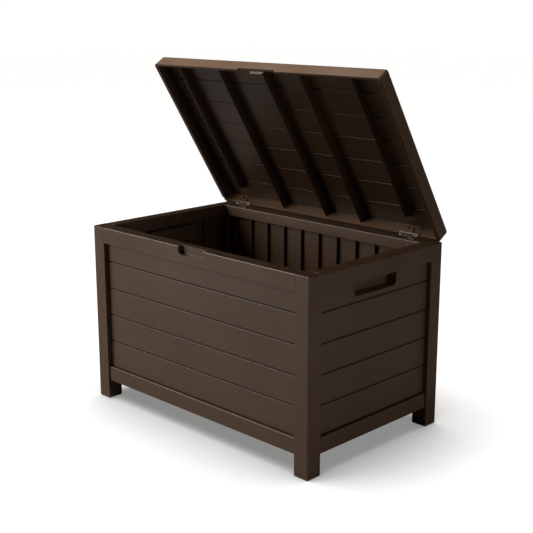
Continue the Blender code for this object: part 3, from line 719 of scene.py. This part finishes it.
def lidShell():
    low, high = closedBox("lid_shell")
    shell = block("fine_lid_shell", low, high, lambda e: upright(e) or e.verts[0].co.z > high.z - 1e-5
                  and e.verts[1].co.z > high.z - 1e-5, lid["edgeRound"], 7)
    innerX, innerY = halfX - lid["sideWall"], halfY - lid["frontWall"]
    skinBottom = high.z - lid["skin"]
    carve(shell, block("cavity", (-innerX, middleY - innerY, low.z - 0.01),
                       (innerX, middleY + innerY, skinBottom), upright, lid["cavityRound"], 5))
    pitch = 2 * halfY / lid["boards"]
    half = lid["lineWidth"] / 2
    for k in range(1, lid["boards"]):
        y = middleY - halfY + k * pitch
        reach = halfX - lid["lineEnd"]
        carve(shell, block("line", (-reach, y - half, high.z - lid["lineDepth"]),
                           (reach, y + half, high.z + 0.01), upright, half * 0.9, 3))
        reach = innerX - lid["lineInset"]
        carve(shell, block("innerLine", (-reach, y - half, skinBottom - 0.001),
                           (reach, y + half, skinBottom + lid["innerLineDepth"])))
    carve(shell, block("rearRim", (-halfX - 0.01, middleY + halfY - lid["rearRimReach"], low.z - 0.01),
                       (halfX + 0.01, middleY + halfY + 0.01, bodyTop + lid["rearRimTop"])))
    reach = lid["notchLength"] / 2
    carve(shell, block("notch", (-reach, middleY - halfY - 0.01, low.z - 0.01),
                       (reach, middleY - innerY + 0.001, low.z + lid["notchHeight"])))
    for side in (-1, 1):
        x = side * (halfX - lid["rimLineInset"])
        w = lid["rimLineWidth"] / 2
        carve(shell, block("rimLine", (x - w, middleY - halfY + 0.012, low.z - 0.01),
                           (x + w, middleY + halfY - 0.020, low.z + lid["rimLineDepth"])))
    for leftRight in ("left", "right"):
        leaf = closedBox(f"hinge_leaf_{leftRight}")
        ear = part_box(f"hinge_ear_{leftRight}")
        barrelTop = ear[1][2]
        carve(shell, block("hingeGap", (leaf[0].x - 0.001, middleY + innerY - 0.001, low.z - 0.01),
                           (ear[1][0] + 0.001, middleY + halfY + 0.01, barrelTop + 0.001)))
    softenEdges(shell, lid["softEdge"])
    radius, count = lid["ridgeRadius"], lid["ridgeSides"]
    turns = [2 * math.pi * k / count for k in range(count)]
    outline = [(math.cos(t) * radius, math.sin(t) * radius) for t in turns]
    edge = middleY - halfY + pitch + half + radius / 2
    reach = innerX - lid["lineInset"]
    ridge = extrude("ridge", outline, lambda p, at: (at, edge + p[0], skinBottom + p[1]), -reach, reach)
    softenEdges(ridge, 0.00005, 1, 60)
    addRepeats(shell, ridge, (0, 0, 0), (0, pitch, 0), lid["boards"] - 1, lidResin)
    discard(ridge)

    bottom, top = bodyTop + lid["ribBottom"], skinBottom + 0.0014
    front, rear = -innerY - 0.001, innerY + 0.001
    catchBack = closedBox("lid_catch")[1].y - middleY + gap
    outer = lidRib(front, lid["outerRibBack"], lid["outerRibSlope"], bottom, top)
    whole = lidRib(front, rear, 0.0, bottom, top)
    short = lidRib(catchBack, rear, 0.0, bottom, top)
    far, left, middle, right, near = lid["ribX"]
    for rib, first, second in ((outer, far, near), (whole, left, right)):
        addRepeats(shell, rib, (first, 0, 0), (second - first, 0, 0), 2, lidResin)
    addRepeats(shell, short, (middle, 0, 0), (1, 0, 0), 1, lidResin)
    discard(outer, whole, short)
    shell.data.transform(openLid)
    mount(shell, "lid", lidResin, "lid_resin", "lid_shell")


# Catch: a tongue that drops into the finger notch
catch = {"tipRound": 0.006, "softEdge": 0.0008}


def lidCatch():
    low, high = closedBox("lid_catch")
    corners = [(low.x, low.z), (high.x, low.z), (high.x, high.z), (low.x, high.z)]
    outline = roundCorners(corners, [catch["tipRound"], catch["tipRound"], 0.001, 0.001], steps=7)
    piece = extrude("fine_lid_catch", outline, lambda p, at: (p[0], at, p[1]), low.y, high.y)
    softenEdges(piece, catch["softEdge"])
    piece.data.transform(openLid)
    mount(piece, "lid", fittingResin, "fitting_resin", "lid_catch")


# Hinges: ears on the box, leaves on the lid, round-ended pins, and a sill under each leaf
hinge = {"softEdge": 0.0005, "pinRadius": 0.0020, "pinRound": 0.0008,
         "sillReach": (0.0006, 0.0023), "sillHeight": 0.0019, "sillSoftEdge": 0.0004}


def hinges():
    for leftRight in ("left", "right"):
        for body, part in (("box", "ear"), ("lid", "leaf")):
            node = f"hinge_{part}_{leftRight}"
            piece = copyOfNode(node, f"fine_{node}")
            softenEdges(piece, hinge["softEdge"], 2)
            mount(piece, body, fittingResin, "fitting_resin", node)
        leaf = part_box(f"hinge_leaf_{leftRight}")
        near, far = [hingePoint.y + reach for reach in hinge["sillReach"]]
        sill = block(f"hinge_sill_{leftRight}", (leaf[0][0], near, bodyTop + gap / 3),
                     (leaf[1][0], far, bodyTop + hinge["sillHeight"]))
        softenEdges(sill, hinge["sillSoftEdge"], 2)
        mount(sill, "box", frameResin, "frame_resin")
        node = f"hinge_pin_{leftRight}"
        low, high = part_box(node)
        length, turn, radius = high[0] - low[0], hinge["pinRound"], hinge["pinRadius"]
        arc = [math.pi / 2 * k / 4 for k in range(5)]
        end = [(radius - turn + turn * math.sin(a), turn - turn * math.cos(a)) for a in arc]
        profile = end + [(r, length - h) for r, h in reversed(end)]
        pin = turned(f"fine_{node}", profile, 24)
        softenEdges(pin, 0.0001, 1, 60)
        pin.data.transform(Matrix.Translation((low[0], (low[1] + high[1]) / 2, (low[2] + high[2]) / 2))
                           @ Matrix.Rotation(math.pi / 2, 4, "Y"))
        mount(pin, "lid", plated, "plated_steel", node)


# Screws: one pan head with a cross recess, set wherever a screw is
screw = {"headRadius": 0.0030, "headHeight": 0.0012, "shankRadius": 0.0016, "shankLength": 0.006,
         "recessLength": 0.0034, "recessWidth": 0.0008, "recessDepth": 0.0008}


def panHeadScrew():
    head, height = screw["headRadius"], screw["headHeight"]
    dome = [(head * math.cos(a), height * (0.35 + 0.65 * math.sin(a)))
            for a in (math.pi / 2 * k / 7 for k in range(7))]
    profile = [(0.0004, -screw["shankLength"]), (screw["shankRadius"], -screw["shankLength"] + 0.001),
               (screw["shankRadius"], 0.0), (head, 0.0)] + dome + [(0.0003, height)]
    made = turned("panHeadScrew", profile)
    length, width = screw["recessLength"] / 2, screw["recessWidth"] / 2
    for a, b in ((length, width), (width, length)):
        carve(made, block("recess", (-a, -b, height - screw["recessDepth"]), (a, b, height + 0.001)))
    return softenEdges(made, 0.00008, 1, 50)


def screwSet(name, body, spots, *nodes):        # spots are (point under the head, head direction)
    mesh = bpy.data.meshes.new(name)
    mesh.from_pydata([point for point, _ in spots], [], [])
    heading = mesh.attributes.new("headDirection", "FLOAT_VECTOR", "POINT")
    heading.data.foreach_set("vector", [c for _, direction in spots for c in direction])
    piece = linkMesh(name, mesh)
    blank = panHeadScrew()
    useTree(piece, pointsTree, {"Piece": blank, "Finish": plated})
    discard(blank)
    if body == "lid":
        piece.data.transform(openLid)
    mount(piece, body, plated, "plated_steel", *nodes)


def screws():
    height = screw["headHeight"]
    earNodes = [f"hinge_ear_screw_{leftRight}" for leftRight in ("left", "right")]
    spots = []
    for node in earNodes:
        low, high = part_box(node)
        spots.append((((low[0] + high[0]) / 2, (low[1] + high[1]) / 2, high[2] - height), (0, 0, 1)))
    screwSet("box_screws", "box", spots, *earNodes)
    lidNodes, spots = [], []
    for kind, facing in (("hinge_leaf_screw", -1), ("lid_catch_screw", 1)):
        for leftRight in ("left", "right"):
            node = f"{kind}_{leftRight}"
            low, high = closedBox(node)
            y = low.y + height if facing < 0 else high.y - height
            spots.append((((low.x + high.x) / 2, y, (low.z + high.z) / 2), (0, facing, 0)))
            lidNodes.append(node)
    screwSet("lid_screws", "lid", spots, *lidNodes)


cornerPosts()
print("corner posts made")
topRails()
print("top rails made")
for side in sides:
    wallPanel(side)
print("wall panels made")
bottomRails()
floorSheet()
print("bottom rails and floor made")
lidShell()
lidCatch()
print("lid made")
hinges()
screws()
print("hinges and screws made")

# Floor, light and camera
studio = {"floorSize": 14.0, "bounce": 0.18, "lit": 0.18, "shadeReach": 0.28, "shadeDark": 0.25,
          "shadeFrom": 0.42, "shadeTo": 0.97, "surround": 0.02}
lamps = {"boxKey": {"azimuth": -36, "elevation": 18, "distance": 2.6, "size": 1.6, "power": 51},
         "boxHigh": {"azimuth": -66, "elevation": 42, "distance": 2.6, "size": 0.9, "power": 15},
         "lidKey": {"azimuth": -36, "elevation": 61, "distance": 2.6, "size": 1.6, "power": 135},
         "lidLow": {"azimuth": -42, "elevation": 9, "distance": 2.6, "size": 0.5, "power": 8.5},
         "fill": {"azimuth": 96, "elevation": 6, "distance": 2.6, "size": 1.4, "power": 15}}


def studioFloor():                              # glows white, with painted shade where the object closes it in
    bm = bmesh.new()
    bmesh.ops.create_grid(bm, x_segments=1, y_segments=1, size=studio["floorSize"])
    floor = fromBmesh("studioFloor", bm)
    material, nodes, links = newMaterial("studioWhite")
    nodes.remove(nodes["Principled BSDF"])
    output = nodes["Material Output"]
    seen = nodes.new("ShaderNodeLightPath")
    # painted contact shade: the glow drops where ambient occlusion finds the object close
    closed = nodes.new("ShaderNodeAmbientOcclusion")
    closed.samples = 16
    closed.inputs["Distance"].default_value = studio["shadeReach"]
    fade = nodes.new("ShaderNodeMapRange")
    fade.inputs["From Min"].default_value = studio["shadeFrom"]
    fade.inputs["From Max"].default_value = studio["shadeTo"]
    fade.inputs["To Min"].default_value = studio["shadeDark"]
    fade.inputs["To Max"].default_value = 1.0
    links.new(closed.outputs["AO"], fade.inputs["Value"])
    glow = nodes.new("ShaderNodeEmission")
    glow.inputs["Color"].default_value = (1.0, 0.992, 0.98, 1)
    links.new(fade.outputs["Result"], glow.inputs["Strength"])
    bright = nodes.new("ShaderNodeBsdfDiffuse")
    bright.inputs["Color"].default_value = (*[studio["lit"]] * 3, 1)
    dull = nodes.new("ShaderNodeBsdfDiffuse")
    dull.inputs["Color"].default_value = (*[studio["bounce"]] * 3, 1)
    both = nodes.new("ShaderNodeAddShader")
    pick = nodes.new("ShaderNodeMixShader")
    links.new(glow.outputs[0], both.inputs[0])
    links.new(bright.outputs[0], both.inputs[1])
    links.new(seen.outputs["Is Camera Ray"], pick.inputs["Fac"])
    links.new(dull.outputs[0], pick.inputs[1])
    links.new(both.outputs[0], pick.inputs[2])
    links.new(pick.outputs[0], output.inputs["Surface"])
    floor.data.materials.append(material)
    floor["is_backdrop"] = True
    return floor


def softbox(name, lit):                         # light linking keeps each one to what it is aimed at
    lamp = lamps[name]
    a, e = math.radians(lamp["azimuth"]), math.radians(lamp["elevation"])
    away = Vector((math.sin(a) * math.cos(e), -math.cos(a) * math.cos(e), math.sin(e)))
    light = bpy.data.lights.new(name, "AREA")
    light.size = lamp["size"]
    light.energy = lamp["power"]
    made = bpy.data.objects.new(name, light)
    made.location = Vector((0, middleY, 0.3)) + away * lamp["distance"]
    made.rotation_mode = "QUATERNION"
    made.rotation_quaternion = away.to_track_quat("Z", "Y")
    bpy.context.scene.collection.objects.link(made)
    group = bpy.data.collections.new(f"{name}Lit")
    for piece in lit:
        group.objects.link(piece)
    made.light_linking.receiver_collection = group


def softboxes(floor):
    shown = [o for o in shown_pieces() if o.type == "MESH"]
    onBox = [o for o in shown if body_of(o) == ["box"]]
    onLid = [o for o in shown if body_of(o) == ["lid"]]
    softbox("boxKey", onBox)
    softbox("boxHigh", onBox)
    softbox("lidKey", onLid + [floor])
    softbox("lidLow", onLid)
    softbox("fill", onBox + onLid + [floor])


def surround():
    scene = bpy.context.scene
    scene.world = bpy.data.worlds.new("studioWorld")
    scene.world.use_nodes = True
    nodes, links = scene.world.node_tree.nodes, scene.world.node_tree.links
    dim = nodes["Background"]
    dim.inputs["Color"].default_value = (1, 1, 1, 1)
    dim.inputs["Strength"].default_value = studio["surround"]
    white = nodes.new("ShaderNodeBackground")
    white.inputs["Color"].default_value = (1, 1, 1, 1)
    seen = nodes.new("ShaderNodeLightPath")
    pick = nodes.new("ShaderNodeMixShader")
    links.new(seen.outputs["Is Camera Ray"], pick.inputs["Fac"])
    links.new(dim.outputs[0], pick.inputs[1])
    links.new(white.outputs[0], pick.inputs[2])
    links.new(pick.outputs[0], nodes["World Output"].inputs["Surface"])
    scene.view_settings.view_transform = "Standard"


def camera():
    shot = {"azimuth": 44.74, "elevation": 14.16, "distance": 2.2346, "lens": 70.76,
            "aim": Vector((-0.0449, middleY + 0.0594, 0.2924))}
    a, e = math.radians(shot["azimuth"]), math.radians(shot["elevation"])
    away = Vector((math.sin(a) * math.cos(e), -math.cos(a) * math.cos(e), math.sin(e)))
    lens = bpy.data.cameras.new("productCamera")
    lens.lens = shot["lens"]
    lens.sensor_width = 36
    view = bpy.data.objects.new("productCamera", lens)
    view.location = shot["aim"] + away * shot["distance"]
    view.rotation_mode = "QUATERNION"
    view.rotation_quaternion = away.to_track_quat("Z", "Y")
    bpy.context.scene.collection.objects.link(view)
    bpy.context.scene.camera = view


softboxes(studioFloor())
surround()
camera()
print("studio ready")
